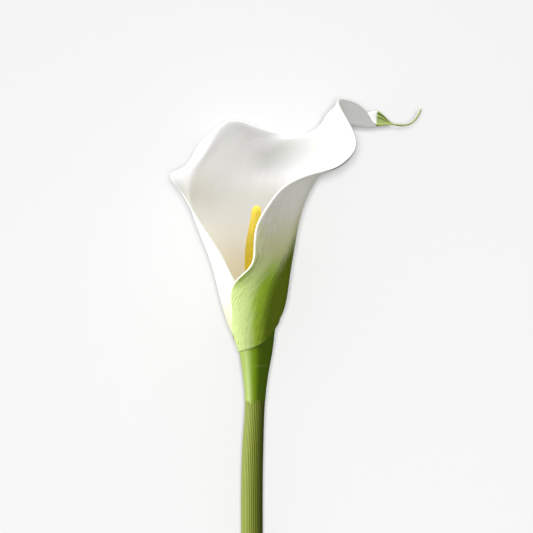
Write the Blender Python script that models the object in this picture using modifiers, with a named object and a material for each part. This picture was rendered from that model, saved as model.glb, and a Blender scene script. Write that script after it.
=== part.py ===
"""Calla lily flower: a cut stem with its spathe and spadix, laid on its back.

The flower is shaped upright in its own frame, in millimetres: X across, Y up along the stem from
the foot of the spathe, and Z to the side where the spathe's two margins overlap. An empty then
lays it down on three low points, in metres, with +Z up and the stem along Y.
"""

import math
from collections.abc import Callable
from dataclasses import dataclass

import bmesh
import bpy
import numpy as np
from mathutils import Euler, Vector

MM = 0.001
SEAT_GAP = 0.3               # clearance between pieces that touch

# The stem, whose top is a smooth neck.
STEM_LENGTH = 180.0          # from the foot of the spathe down to the cut
STEM_PROFILE = (             # (height, x of the centre, radius), up to the neck's shoulder
    (-STEM_LENGTH, 0.0, 6.0), (-100.0, 0.0, 6.0), (-66.0, 0.15, 5.95), (-44.0, 0.95, 5.65),
    (-30.0, 1.65, 5.5), (-16.5, 1.9, 6.6), (-5.5, 2.1, 8.3), (3.0, 1.9, 9.85), (12.0, 1.2, 11.7),
    (16.0, 1.75, 12.3))
STEM_RINGS = ((-STEM_LENGTH, -45.0, 10), (-38.0, 16.0, 13))    # (lowest, highest, how many)
SHOULDER_INSET = 1.8         # how far the rounding on top of the neck comes in
SHOULDER_RISE = 2.0          # and how far it goes up
SHOULDER_RINGS = 3
NECK_TOP = STEM_PROFILE[-1][0] + SHOULDER_RISE
RIB_COUNT = 20
RIB_SIDES = 3                # ring points a rib, one of them in the furrow
RIB_DEPTH = 0.22
RIBS_END = -28.0             # the furrows have run out here, where the smooth neck begins
RIB_FADE = 7.0               # length over which they run out

# The spadix, which stands on the neck.
SPADIX_FOOT = NECK_TOP + SEAT_GAP
SPADIX_TOP = 79.5
SPADIX_LINE = (              # (height, x, z) of the middle of the rod
    (SPADIX_FOOT, 0.2, 0.0), (30.0, -0.85, -0.1), (45.0, -1.15, -0.25), (55.0, -0.8, -0.35),
    (63.0, 0.3, -0.45), (71.5, 1.85, -0.55), (SPADIX_TOP, 2.75, -0.6))
SPADIX_PROFILE = ((0.0, 2.55), (0.3, 2.75), (0.7, 2.85), (1.0, 2.7))    # (share of length, radius)
SPADIX_DOME = 4.2            # length of the rounded top
DOME_RINGS = 5
DOME_END = math.radians(80)  # the dome's last ring, of a quarter turn
FLORETS_ROUND = 9
FLORET_SIDES = 4             # ring points a floret
FLORET_PITCH = 1.7           # between one row and the next, which is set half a floret round
FLORET_HEIGHT = 0.3

# The spathe.
SHEET_THICKNESS = 0.9
COLUMNS = 40                 # cells across, from margin to margin
ROWS = 38                    # cells along, from the base to the tip
TIP_ROWS = 12                # cells along the drawn-out tip and its tail
TIP_STATION = 9.0
LAST_STATION = 10.0
FINEST_CELL = 0.3            # where cells get narrower than this, every second column ends
BASE_OFFSET = 2.0            # how far the tube's centre stands off the axis at its base
BASE_OFFSET_END = 16.0       # the height where it has come back to the axis

# How the flower lies: the turns about X and Y that set it on its three low points.
LAY_TILT = math.radians(7.26)
LAY_ROLL = math.radians(-1.74)

# Colours, linear.
STEM_GREEN = (0.18, 0.30, 0.05)
SPADIX_YELLOW = (0.85, 0.52, 0.03)
SPATHE_CREAM = (0.80, 0.78, 0.72)


@dataclass(frozen=True)
class Guide:
    """A lengthwise line of the spathe, followed from its base to the root of its tail.

    across is 0 at the right margin, which wraps outermost, and 1 at the left margin, which is
    tucked in. tube holds (station, height, bearing in degrees from +Z towards +X, radius) in the
    rolled part, and crown holds (station, x, y, z) from there to the drawn-out tip.
    """

    across: float
    tube: tuple
    crown: tuple


GUIDES = (
    Guide(0.0,  # right margin
          ((0, -6, -84, 9.3), (1, 12, -53, 13.4), (2, 25.5, -41, 17.6), (3, 38.2, -23, 21.7)),
          ((3.5, -1.2, 45.4, 23.0), (4, 1.2, 54.3, 24.3), (4.5, 2.4, 66.6, 27.6),
           (5, 8.6, 78.2, 30.0), (5.5, 17.9, 88.8, 31.0), (6, 32.4, 95.2, 29.0),
           (6.5, 45.3, 99.0, 25.0), (7, 54.6, 106.8, 20.5), (7.5, 55.2, 119.5, 15.0),
           (8, 47.3, 136.6, 8.0), (8.25, 52.0, 137.0, 5.0), (8.5, 58.0, 135.3, 1.0),
           (8.75, 63.8, 130.6, -4.0), (9, 68.0, 124.9, -9.0))),
    Guide(0.2,  # right flank
          ((0, -6, 26, 9.9), (1, 11, 38, 13.3), (2, 25, 47, 18.2), (3, 40, 56, 20.6)),
          ((4, 21.0, 57, 9.5), (5, 27.0, 79, 7.0), (6, 36.8, 96.5, 9.0), (7, 45.5, 112, 1.0),
           (8, 45.2, 132.3, -2.0), (8.5, 56.0, 127.0, -5.0), (9, 68.6, 124.2, -12.0))),
    Guide(0.42,  # midrib
          ((0, -7, 132, 9.3), (1, 10, 132, 13.2), (2, 25, 132, 17.3), (3, 40, 131, 20.3)),
          ((4, 18.0, 57, -15.2), (5, 21.5, 78, -19), (6, 27.0, 97, -24), (7, 35.0, 113, -24),
           (8, 42.6, 127.6, -13), (8.5, 55, 125.0, -13.5), (9, 68.8, 124.4, -16))),
    Guide(0.64,  # left wall
          ((0, -6, 222, 9.2), (1, 10, 222, 12.1), (2, 25, 219, 16.5), (3, 40, 215, 20.3)),
          ((4, -12, 57, -20.8), (5, -12, 79, -28), (6, -7, 101, -34), (7.1, 7, 117.5, -36),
           (8, 37, 120.8, -29.5), (8.5, 52.5, 125.6, -22), (9, 69.0, 128, -20))),
    Guide(0.84,  # left crest
          ((0, -3, 318, 9.0), (1, 11, 312, 11.9), (2, 24, 303, 15.8), (3, 38, 292, 19.4)),
          ((4, -24.4, 55, 5.0), (5, -33.4, 79, 2), (6, -30.5, 99.5, -6), (6.4, -23.5, 112.5, -16),
           (6.85, -14.5, 127.2, -27.5), (7.4, 4, 124.3, -35.5), (8, 32, 120.8, -35.5),
           (8.5, 51, 125.3, -27), (8.75, 61.0, 129.0, -24.0), (9, 69.4, 131.4, -21))),
    Guide(1.0,  # left margin
          ((0, -3, 375, 9.2), (1, 10, 366, 11.4), (2, 22, 353, 15.2), (3, 34.5, 337, 18.8)),
          ((3.5, -12.2, 44.0, 17.5), (4, -17.3, 53.8, 17.2), (4.5, -24.6, 64.5, 15.5),
           (5, -32.2, 76, 13), (5.5, -39.0, 87, 10.5), (6, -44.9, 96.0, 8), (6.35, -37.0, 99.5, -7),
           (6.75, -28.5, 113.5, -23), (7.2, -10.5, 120.6, -43.6), (7.6, 8.5, 118.4, -42.6),
           (8, 27.0, 115.4, -44.2), (8.5, 49.5, 124.5, -31), (8.75, 61.0, 130.3, -26.0),
           (9, 69.6, 133.0, -21.5))),
)

# The tail, shared by every guide: (station, x, y, z, width).
TAIL = ((9.4, 79.6, 125.0, -17.6, 2.0), (9.6, 86.3, 125.0, -19.0, 1.3),
        (9.8, 91.4, 128.3, -20.4, 1.1), (10.0, 94.5, 134.0, -21.5, 0.8))

# Where the sheet starts above the tube's nominal foot: (across, station).
OBLIQUE_BASE = ((0.0, 0.28), (0.1, 0.38), (0.2, 0.7), (0.32, 1.32), (0.42, 1.2), (0.55, 0.85),
                (0.64, 0.62), (0.75, 0.72), (0.84, 1.15), (1.0, 1.5))


def natural_spline(knots: list, values: list, at: np.ndarray) -> np.ndarray:
    """Read, at the places in at, the natural cubic spline through rows of values at knots."""
    knot = np.asarray(knots, float)
    value = np.asarray(values, float)
    place = np.asarray(at, float)
    step = np.diff(knot)
    count = len(knot)
    system = np.eye(count)
    target = np.zeros(value.shape)
    for i in range(1, count - 1):
        system[i, i - 1] = step[i - 1]
        system[i, i] = 2 * (step[i - 1] + step[i])
        system[i, i + 1] = step[i]
        rise = np.diff(value[i - 1:i + 2], axis=0) / step[i - 1:i + 1, None]
        target[i] = 6 * (rise[1] - rise[0])
    bend = np.linalg.solve(system, target)
    span = np.clip(np.searchsorted(knot, place, side="right") - 1, 0, count - 2)
    width = step[span][:, None]
    after = ((place - knot[span]) / step[span])[:, None]
    before = 1 - after
    straight = before * value[span] + after * value[span + 1]
    curl = (before ** 3 - before) * bend[span] + (after ** 3 - after) * bend[span + 1]
    return straight + curl * width ** 2 / 6


def tube_centre(height: np.ndarray) -> np.ndarray:
    """X of the rolled tube's centre at a height: off the axis at the base, on it above."""
    rise = np.clip(height / BASE_OFFSET_END, 0, 1)
    return BASE_OFFSET * (1 - rise * rise * (3 - 2 * rise))


def guide_rows(guide: Guide) -> tuple[list, list]:
    """Stations of a guide, and its (bearing, radius, height) at each, tail included."""
    stations = [row[0] for row in guide.tube]
    rows = [(row[2], row[3], row[1]) for row in guide.tube]
    tail = [(station, x, y, z - (guide.across - 0.5) * width) for station, x, y, z, width in TAIL]
    for station, x, y, z in list(guide.crown) + tail:
        from_centre = x - float(tube_centre(np.array(y)))
        bearing = math.degrees(math.atan2(from_centre, z))
        bearing += 360 * round((rows[-1][0] - bearing) / 360)
        stations.append(station)
        rows.append((bearing, math.hypot(from_centre, z), y))
    return stations, rows


def spathe_surface() -> np.ndarray:
    """Points of the spathe's middle surface in mm, as an array [column, row, xyz]."""
    across = np.linspace(0, 1, COLUMNS + 1)
    along = np.linspace(0, 1, ROWS + 1)
    tip = np.linspace(TIP_STATION, LAST_STATION, TIP_ROWS + 1)[1:]
    foot = natural_spline([k[0] for k in OBLIQUE_BASE], [[k[1]] for k in OBLIQUE_BASE], across)
    stations = np.hstack([foot + (TIP_STATION - foot) * along, np.tile(tip, (COLUMNS + 1, 1))])
    lines = [natural_spline(*guide_rows(guide), stations.ravel()).reshape(*stations.shape, 3)
             for guide in GUIDES]
    surface = np.empty(stations.shape + (3,))
    for i, place in enumerate(across):
        through = np.stack([line[i].ravel() for line in lines])
        column = natural_spline([guide.across for guide in GUIDES], through, np.array([place]))
        surface[i] = column.reshape(-1, 3)
    bearing = np.radians(surface[..., 0])
    radius = surface[..., 1]
    height = surface[..., 2]
    x = tube_centre(height) + radius * np.sin(bearing)
    return np.stack([x, height, radius * np.cos(bearing)], axis=-1)


def smoothstep(start: float, end: float, value: float) -> float:
    """0 before start, 1 past end, and an even S between."""
    rise = min(max((value - start) / (end - start), 0.0), 1.0)
    return rise * rise * (3 - 2 * rise)


def ringed_tube(sides: int, rings: int, place: Callable) -> bmesh.types.BMesh:
    """A capped cylinder cut into rings, whose points place(ring, turn) then puts where they go."""
    mesh = bmesh.new()
    bmesh.ops.create_cone(mesh, cap_ends=True, segments=sides, radius1=1.0, radius2=1.0,
                          depth=rings - 1)
    uprights = [edge for edge in mesh.edges if edge.verts[0].co.z * edge.verts[1].co.z < 0]
    bmesh.ops.subdivide_edges(mesh, edges=uprights, cuts=rings - 2, use_grid_fill=True)
    for vert in mesh.verts:
        ring = round(vert.co.z + (rings - 1) / 2)
        vert.co = place(ring, math.atan2(vert.co.x, vert.co.y))
    return mesh


def finish_mesh(name: str, mesh: bmesh.types.BMesh,
                material: bpy.types.Material) -> bpy.types.Object:
    """Store a mesh that was shaped in millimetres as a smooth shaded object in metres."""
    bmesh.ops.scale(mesh, vec=(MM, MM, MM), verts=mesh.verts)
    bmesh.ops.recalc_face_normals(mesh, faces=mesh.faces)
    data = bpy.data.meshes.new(name)
    mesh.to_mesh(data)
    mesh.free()
    data.shade_smooth()
    data.materials.append(material)
    return bpy.data.objects.new(name, data)


def make_material(name: str, colour: tuple, roughness: float) -> bpy.types.Material:
    """A plain Principled material."""
    material = bpy.data.materials.new(name)
    material.use_nodes = True
    shader = material.node_tree.nodes["Principled BSDF"]
    shader.inputs["Base Color"].default_value = (*colour, 1.0)
    shader.inputs["Roughness"].default_value = roughness
    shader.inputs["Metallic"].default_value = 0.0
    material.diffuse_color = (*colour, 1.0)
    return material


def stem_sections() -> list:
    """(height, x of the centre, radius, depth of the furrows) of each ring, from the cut up."""
    heights = np.concatenate([np.linspace(*span) for span in STEM_RINGS])
    knots = [row[0] for row in STEM_PROFILE]
    outline = natural_spline(knots, [row[1:] for row in STEM_PROFILE], heights)
    sections = []
    for height, (centre, radius) in zip(heights, outline):
        ribbed = smoothstep(RIBS_END, RIBS_END - RIB_FADE, height)
        sections.append((height, centre, radius, RIB_DEPTH * ribbed))
    shoulder, centre, radius, _ = sections[-1]
    for turn in np.linspace(0, math.pi / 2, SHOULDER_RINGS + 1)[1:]:
        sections.append((shoulder + SHOULDER_RISE * math.sin(turn), centre,
                         radius - SHOULDER_INSET * (1 - math.cos(turn)), 0.0))
    return sections


def build_stem() -> bpy.types.Object:
    """The ribbed stem with its smooth neck, cut square at the foot and rounded off on top."""
    sections = stem_sections()

    def place(ring: int, turn: float) -> tuple:
        height, centre, radius, furrow = sections[ring]
        reach = radius - furrow * max(0.0, math.cos(RIB_COUNT * turn))
        return centre + reach * math.sin(turn), height, reach * math.cos(turn)

    mesh = ringed_tube(RIB_COUNT * RIB_SIDES, len(sections), place)
    return finish_mesh("stem", mesh, make_material("stem_green", STEM_GREEN, 0.45))


def spadix_sections(length: float) -> list:
    """(distance from the foot, radius, share of full relief) of each ring of the spadix."""
    rod = length - SPADIX_DOME
    distances = np.linspace(0, rod, 2 * round(rod / FLORET_PITCH) + 1)
    shares = [row[0] for row in SPADIX_PROFILE]
    girths = natural_spline(shares, [row[1:] for row in SPADIX_PROFILE], distances / rod)[:, 0]
    sections = [(distance, girth, 1.0) for distance, girth in zip(distances, girths)]
    for turn in np.linspace(0, DOME_END, DOME_RINGS + 1)[1:]:
        share = math.cos(turn)
        sections.append((rod + SPADIX_DOME * math.sin(turn), girths[-1] * share, share))
    return sections


def build_spadix() -> bpy.types.Object:
    """The spadix: a blunt bowed rod under rows of florets, flat where it stands on the neck."""
    sections = spadix_sections(SPADIX_TOP - SPADIX_FOOT)
    heights = np.array([SPADIX_FOOT + row[0] for row in sections])
    middle = natural_spline([row[0] for row in SPADIX_LINE], [row[1:] for row in SPADIX_LINE], heights)

    def place(ring: int, turn: float) -> Vector:
        distance, radius, share = sections[ring]
        floret = math.cos(FLORETS_ROUND * turn) * math.cos(math.pi * distance / FLORET_PITCH)
        reach = radius + FLORET_HEIGHT * share * floret
        across, depth = middle[ring]
        return Vector((across + reach * math.sin(turn), heights[ring], depth + reach * math.cos(turn)))

    mesh = ringed_tube(FLORETS_ROUND * FLORET_SIDES, len(sections), place)
    return finish_mesh("spadix", mesh, make_material("spadix_yellow", SPADIX_YELLOW, 0.6))


def sheet_mesh(surface: np.ndarray) -> bmesh.types.BMesh:
    """A grid laid through the surface's points, with fewer columns where it narrows."""
    columns, rows = surface.shape[0] - 1, surface.shape[1] - 1
    mesh = bmesh.new()
    bmesh.ops.create_grid(mesh, x_segments=columns, y_segments=rows, size=1.0)
    mesh.verts.ensure_lookup_table()
    welds = {}
    skip = 1
    for j in range(rows + 1):
        line = mesh.verts[j * (columns + 1):(j + 1) * (columns + 1)]
        width = float(np.linalg.norm(np.diff(surface[:, j], axis=0), axis=1).sum())
        if width * skip / columns < FINEST_CELL and columns // skip % 2 == 0:
            skip *= 2
        for i, vert in enumerate(line):
            vert.co = surface[i, j]
            if i % skip:
                welds[vert] = line[i - i % skip]
    bmesh.ops.weld_verts(mesh, targetmap=welds)
    return mesh


def build_spathe() -> bpy.types.Object:
    """The spathe: one sheet, split into triangles and then given its thickness on both sides."""
    mesh = sheet_mesh(spathe_surface())
    spathe = finish_mesh("spathe", mesh, make_material("spathe_cream", SPATHE_CREAM, 0.5))
    spathe.modifiers.new("triangles", "TRIANGULATE")
    shell = spathe.modifiers.new("shell", "SOLIDIFY")
    shell.thickness = SHEET_THICKNESS * MM
    shell.offset = 0.0
    return spathe


def lay_down(pieces: list, carrier: bpy.types.Object) -> None:
    """Turn the empty that carries the pieces, and stand their box on the origin."""
    turn = Euler((LAY_TILT, LAY_ROLL, 0.0))
    carrier.rotation_euler = turn
    bpy.context.view_layer.update()
    graph = bpy.context.evaluated_depsgraph_get()
    points = [turn.to_matrix() @ vert.co for piece in pieces
              for vert in piece.evaluated_get(graph).data.vertices]
    low = Vector([min(point[k] for point in points) for k in range(3)])
    high = Vector([max(point[k] for point in points) for k in range(3)])
    carrier.location = (-(low.x + high.x) / 2, -(low.y + high.y) / 2, -low.z)


def main() -> None:
    """Clear the scene and build the flower."""
    for leftover in list(bpy.data.objects):
        bpy.data.objects.remove(leftover, do_unlink=True)
    flower = bpy.data.collections.new("calla_lily")
    bpy.context.scene.collection.children.link(flower)
    carrier = bpy.data.objects.new("calla_lily_frame", None)
    flower.objects.link(carrier)
    pieces = [build_stem(), build_spadix(), build_spathe()]
    for piece in pieces:
        flower.objects.link(piece)
        piece.parent = carrier
    lay_down(pieces, carrier)


main()
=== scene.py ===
"""Calla lily flower: the finished spathe, spadix and stem, laid on a pale floor around the fixed frame.

Each piece is shaped upright in the flower's own frame, in millimetres: X across, Y up along the stem
from the foot of the spathe, and Z to the side where the spathe's two margins overlap. LyingPose then
carries it to the frame's metres, where the flower lies on its back.
"""

import logging
import math
from dataclasses import dataclass
from enum import Enum

import bmesh
import bpy
import numpy as np
from bmesh.types import BMesh
from bpy.types import Material, Node, NodeSocket as Socket, Object
from mathutils import Euler, Matrix, Vector


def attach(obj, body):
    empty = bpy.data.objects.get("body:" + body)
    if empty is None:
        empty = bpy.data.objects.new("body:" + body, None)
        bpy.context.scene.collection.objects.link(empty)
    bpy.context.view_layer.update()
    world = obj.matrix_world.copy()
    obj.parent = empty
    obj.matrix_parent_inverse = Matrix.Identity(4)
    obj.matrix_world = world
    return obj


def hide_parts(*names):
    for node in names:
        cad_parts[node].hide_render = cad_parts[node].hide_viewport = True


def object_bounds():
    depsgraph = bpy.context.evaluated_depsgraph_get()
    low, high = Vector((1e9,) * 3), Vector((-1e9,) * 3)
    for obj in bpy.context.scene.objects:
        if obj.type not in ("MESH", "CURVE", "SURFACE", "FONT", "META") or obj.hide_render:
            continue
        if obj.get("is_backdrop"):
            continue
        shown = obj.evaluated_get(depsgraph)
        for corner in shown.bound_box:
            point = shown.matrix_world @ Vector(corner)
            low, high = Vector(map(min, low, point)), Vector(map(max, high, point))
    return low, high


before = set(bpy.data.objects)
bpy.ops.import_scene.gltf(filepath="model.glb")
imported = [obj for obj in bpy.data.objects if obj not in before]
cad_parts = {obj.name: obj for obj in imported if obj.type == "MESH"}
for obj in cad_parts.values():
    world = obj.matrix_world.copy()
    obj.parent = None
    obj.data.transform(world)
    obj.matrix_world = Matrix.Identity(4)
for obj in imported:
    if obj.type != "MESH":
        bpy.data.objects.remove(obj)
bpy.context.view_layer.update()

log = logging.getLogger("calla_lily")
MM = 0.001
STEM_LENGTH = 180.0
SEED = 7
Colour = tuple[float, float, float]
Ramp = tuple[float, ...]  # where a change starts and is complete, and how great it is if not 1
Span = tuple[float, float, float, float]  # where something starts, is full, fades and ends


class Part(Enum):
    """The flower's three pieces, by the names that the frame and the record share."""

    STEM = "stem"
    SPADIX = "spadix"
    SPATHE = "spathe"


def natural_spline(knots: list, values: list, at: np.ndarray) -> np.ndarray:
    """Read a natural cubic spline.

    Args:
        knots: where the rows of values stand, in rising order.
        values: one row of numbers for each knot.
        at: the places to read.

    Returns:
        One row of numbers for each place.
    """
    knot = np.asarray(knots, float)
    value = np.asarray(values, float)
    place = np.asarray(at, float)
    step = np.diff(knot)
    count = len(knot)
    system = np.eye(count)
    target = np.zeros(value.shape)
    for i in range(1, count - 1):
        system[i, i - 1] = step[i - 1]
        system[i, i] = 2 * (step[i - 1] + step[i])
        system[i, i + 1] = step[i]
        rise = np.diff(value[i - 1:i + 2], axis=0) / step[i - 1:i + 1, None]
        target[i] = 6 * (rise[1] - rise[0])
    bend = np.linalg.solve(system, target)
    span = np.clip(np.searchsorted(knot, place, side="right") - 1, 0, count - 2)
    width = step[span][:, None]
    after = ((place - knot[span]) / step[span])[:, None]
    before = 1 - after
    straight = before * value[span] + after * value[span + 1]
    curl = (before ** 3 - before) * bend[span] + (after ** 3 - after) * bend[span + 1]
    return straight + curl * width ** 2 / 6


def read_rows(rows: tuple, at: np.ndarray) -> np.ndarray:
    """Read a natural cubic spline through rows of numbers that each start with their knot."""
    return natural_spline([row[0] for row in rows], [row[1:] for row in rows], at)


def smoothstep(start: float, end: float, value: np.ndarray) -> np.ndarray:
    """0 before start, 1 past end, and an even S between."""
    rise = np.clip((np.asarray(value, float) - start) / (end - start), 0.0, 1.0)
    return rise * rise * (3 - 2 * rise)


def within(span: Span, value: np.ndarray) -> np.ndarray:
    """1 in the middle of a span, 0 outside it, and an even S at each side."""
    start, full, fading, end = span
    return smoothstep(start, full, value) * smoothstep(end, fading, value)


@dataclass(frozen=True)
class LyingPose:
    """How the flower lies, as the turn from its upright frame to the floor's frame."""

    tilt: float = math.radians(7.26)
    roll: float = math.radians(-1.74)
    cut_band: float = 0.1 * MM  # points this near the lowest belong to the cut

    def matrix(self) -> Matrix:
        """Place the flower by the cut end of the framed stem.

        Returns:
            The matrix from upright millimetres to the frame's metres.
        """
        turn = Euler((self.tilt, self.roll, 0.0)).to_matrix()
        back = turn.inverted()
        upright = [back @ vert.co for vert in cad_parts[Part.STEM.value].data.vertices]
        low = min(point.y for point in upright)
        cut = [point for point in upright if point.y < low + self.cut_band]
        across = (min(point.x for point in cut) + max(point.x for point in cut)) / 2
        depth = (min(point.z for point in cut) + max(point.z for point in cut)) / 2
        foot = Vector((0.0, -STEM_LENGTH * MM, 0.0))
        offset = turn @ (Vector((across, low, depth)) - foot)
        return Matrix.Translation(offset) @ turn.to_4x4() @ Matrix.Scale(MM, 4)


@dataclass(frozen=True)
class Grain:
    """Noise that runs along the plant: how fast it changes across and along, and how fine it is."""

    across: float
    along: float
    scale: float
    detail: float = 3.0
    roughness: float = 0.55


class ShaderGraph:
    """A material with one Principled surface, and short calls that add and join its nodes."""

    def __init__(self, name: str, roughness: float, specular: float) -> None:
        """Start a material called name whose surface is this rough and this glossy."""
        self.material = bpy.data.materials.new(name)
        self.material.use_nodes = True
        self.tree = self.material.node_tree
        self.surface = self.tree.nodes["Principled BSDF"]
        self.set(roughness=roughness, specular_ior_level=specular)

    def set(self, **sockets: object) -> None:
        """Give the surface's own sockets their values, named as in specular_ior_level=0.3."""
        by_name = {socket.name.lower().replace(" ", "_"): socket for socket in self.surface.inputs}
        for name, value in sockets.items():
            by_name[name].default_value = value

    def soften(self, weight: float, depth: float, colour: Colour) -> None:
        """Let light into the surface, to a depth in millimetres for each part of a colour."""
        self.set(subsurface_weight=weight, subsurface_scale=depth * MM, subsurface_radius=colour)

    def add(self, kind: str, feeds: dict[int | str, object], **settings: object) -> Node:
        """Add a node.

        Args:
            kind: the node's type name.
            feeds: what goes into its inputs, by index or name: a socket to join or a value to set.
            settings: its properties.

        Returns:
            The node.
        """
        node = self.tree.nodes.new(kind)
        for name, value in settings.items():
            setattr(node, name, value)
        for name, value in feeds.items():
            if isinstance(value, Socket):
                self.tree.links.new(value, node.inputs[name])
            else:
                node.inputs[name].default_value = value
        return node

    def read(self, attribute: str) -> Socket:
        """A number that the mesh carries at each point."""
        return self.add("ShaderNodeAttribute", {}, attribute_name=attribute).outputs["Fac"]

    def math(self, operation: str, *terms: object) -> Socket:
        """The result of a Math node on its terms."""
        return self.add("ShaderNodeMath", dict(enumerate(terms)), operation=operation).outputs[0]

    def times(self, first: object, second: object) -> Socket:
        """One term multiplied by the other."""
        return self.math("MULTIPLY", first, second)

    def plus(self, first: object, second: object) -> Socket:
        """One term added to the other."""
        return self.math("ADD", first, second)

    def minus(self, first: object, second: object) -> Socket:
        """The second term taken from the first."""
        return self.math("SUBTRACT", first, second)

    def ease(self, value: object, ramp: Ramp) -> Socket:
        """0 before a ramp, its height past it, and an even S between."""
        start, end, *height = ramp
        feeds = {"Value": value, "From Min": start, "From Max": end, "To Max": height[0] if height else 1.0}
        node = self.add("ShaderNodeMapRange", feeds, interpolation_type="SMOOTHSTEP")
        return node.outputs["Result"]

    def within(self, value: object, span: Span) -> Socket:
        """1 in the middle of a span, 0 outside it, and an even S at each side."""
        start, full, fading, end = span
        return self.times(self.ease(value, (start, full)), self.ease(value, (end, fading)))

    def grain(self, kind: Grain, across: object = None) -> Socket:
        """Noise from 0 to 1 over the mesh's along and across, or over along and another number."""
        across = self.read("across") if across is None else across
        feeds = {0: self.times(across, kind.across), 1: self.times(self.read("along"), kind.along)}
        place = self.add("ShaderNodeCombineXYZ", feeds).outputs[0]
        feeds = {"Vector": place, "Scale": kind.scale, "Detail": kind.detail, "Roughness": kind.roughness}
        return self.add("ShaderNodeTexNoise", feeds).outputs["Fac"]

    def blend(self, share: object, first: object, second: object) -> Socket:
        """first where share is 0, second where it is 1; colours are triples or sockets."""
        feeds = {0: share}
        for index, colour in ((6, first), (7, second)):
            feeds[index] = colour if isinstance(colour, Socket) else (*colour, 1.0)
        return self.add("ShaderNodeMix", feeds, data_type="RGBA").outputs[2]

    def paint(self, colour: Socket) -> None:
        """Join a colour to the surface."""
        self.tree.links.new(colour, self.surface.inputs["Base Color"])

    def emboss(self, height: Socket, strength: float, rise: float) -> None:
        """Join a bump of a height from 0 to 1 that stands rise millimetres proud."""
        bump = self.add("ShaderNodeBump", {"Height": height, "Strength": strength, "Distance": rise * MM})
        self.tree.links.new(bump.outputs["Normal"], self.surface.inputs["Normal"])


@dataclass(frozen=True)
class SheetMarks:
    """What all sides of the spathe share: a painted shade line along parts of its margins, where the edge
    turns from the light, and its green tip.
    """

    # painted shade: a dark grey line for the margin's edge turned away from the light
    edge_shade: Colour = (0.20, 0.195, 0.185)
    edge_shade_reach: Ramp = (0.5, 0.15)  # how far from the margin
    right: Ramp = (0.5, 0.4)  # across, to tell one margin from the other
    left: Ramp = (0.5, 0.6)
    shaded_edges: tuple = (  # (margin, stations, strength)
        (right, (5.9, 6.4, 6.8, 7.2), 0.5), (right, (6.1, 6.6, 8.3, 8.6), 0.4),
        (left, (6.8, 7.1, 8.0, 8.4), 0.3))
    light: Colour = (0.29, 0.36, 0.09)
    dark: Colour = (0.04, 0.09, 0.005)
    tail: Colour = (0.42, 0.50, 0.17)
    tip_stations: Ramp = (8.99, 9.04)
    stripe_stations: Ramp = (9.45, 9.15)
    stripes: tuple = (  # (across, half width, strength)
        (0.58, 0.025, 0.4), (0.70, 0.03, 0.6), (0.86, 0.06, 0.95))
    core: float = 0.4  # share of a stripe's half width that is darkest

    def over(self, graph: ShaderGraph, base: object) -> Socket:
        """Lay the painted shade line along the margins and the tip's green over a colour.

        Args:
            graph: the material that is being made.
            base: the colour of the rest of the spathe, as a triple or a socket.

        Returns:
            The colour with the marks on it.
        """
        across, station = graph.read("across"), graph.read("station")
        share = 0.0
        # painted shade along parts of the margins
        for margin, stations, strength in self.shaded_edges:
            here = graph.times(graph.within(station, stations), graph.ease(across, margin))
            share = graph.plus(share, graph.times(here, strength))
        share = graph.times(graph.ease(graph.read("edge"), self.edge_shade_reach), share)
        base = graph.blend(share, base, self.edge_shade)
        striped = graph.ease(station, self.stripe_stations)
        share = 0.0
        for place, half_width, strength in self.stripes:
            off = graph.math("ABSOLUTE", graph.minus(across, place))
            line = graph.ease(off, (half_width, half_width * self.core, strength))
            share = graph.math("MAXIMUM", share, line)
        green = graph.blend(striped, self.tail, self.light)
        green = graph.blend(graph.times(share, striped), green, self.dark)
        return graph.blend(graph.ease(station, self.tip_stations), base, green)


@dataclass(frozen=True)
class ThroatFinish:
    """The inner side of the spathe: cream deep in the throat and white towards the lip, with painted shade
    greying the right lobe, the flared lip and the part by the tip.
    """

    deep: Colour = (0.50, 0.50, 0.20)
    cream: Colour = (0.775, 0.70, 0.545)
    ivory: Colour = (0.745, 0.73, 0.69)
    white: Colour = (0.97, 0.97, 0.97)
    # painted shade: the right lobe's white is greyed where the lamp falls on it hardest
    shaded_lobe_white: Colour = (0.86, 0.86, 0.85)
    lobe_shade: Colour = (0.71, 0.71, 0.70)
    vein: Colour = (0.71, 0.71, 0.66)
    cream_heights: Ramp = (14.0, 38.0)
    ivory_heights: Ramp = (34.0, 74.0)
    white_heights: Ramp = (82.0, 104.0)
    shaded_lobe_across: Ramp = (0.40, 0.20)
    shade_across: Span = (0.02, 0.10, 0.55, 0.65)
    shade_heights: Span = (93.0, 104.0, 122.0, 132.0)
    shade_stations: Ramp = (8.4, 8.75)
    long_veins: Grain = Grain(60.0, 0.018, 1.6)
    fine_veins: Grain = Grain(60.0, 0.02, 4.2, 2.0)
    veined: Ramp = (0.40, 0.75, 0.28)
    marks: SheetMarks = SheetMarks()

    def material(self) -> Material:
        """Make the material."""
        graph = ShaderGraph("spathe_inside", roughness=0.5, specular=0.3)
        graph.soften(weight=0.7, depth=2.0, colour=(1.0, 1.0, 0.95))
        across, height = graph.read("across"), graph.read("height")
        long_veins = graph.grain(self.long_veins)
        colour = graph.blend(graph.ease(height, self.cream_heights), self.deep, self.cream)
        colour = graph.blend(graph.ease(height, self.ivory_heights), colour, self.ivory)
        # painted shade on the right lobe
        white = graph.blend(graph.ease(across, self.shaded_lobe_across), self.white, self.shaded_lobe_white)
        colour = graph.blend(graph.ease(height, self.white_heights), colour, white)
        flared = graph.times(graph.within(across, self.shade_across),
                             graph.within(height, self.shade_heights))
        shaded = graph.math("MAXIMUM", flared, graph.ease(graph.read("station"), self.shade_stations))
        colour = graph.blend(shaded, colour, self.lobe_shade)
        colour = graph.blend(graph.ease(long_veins, self.veined), colour, self.vein)
        graph.paint(self.marks.over(graph, colour))
        graph.emboss(graph.plus(long_veins, graph.grain(self.fine_veins)), strength=0.35, rise=0.16)
        return graph.material


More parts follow.
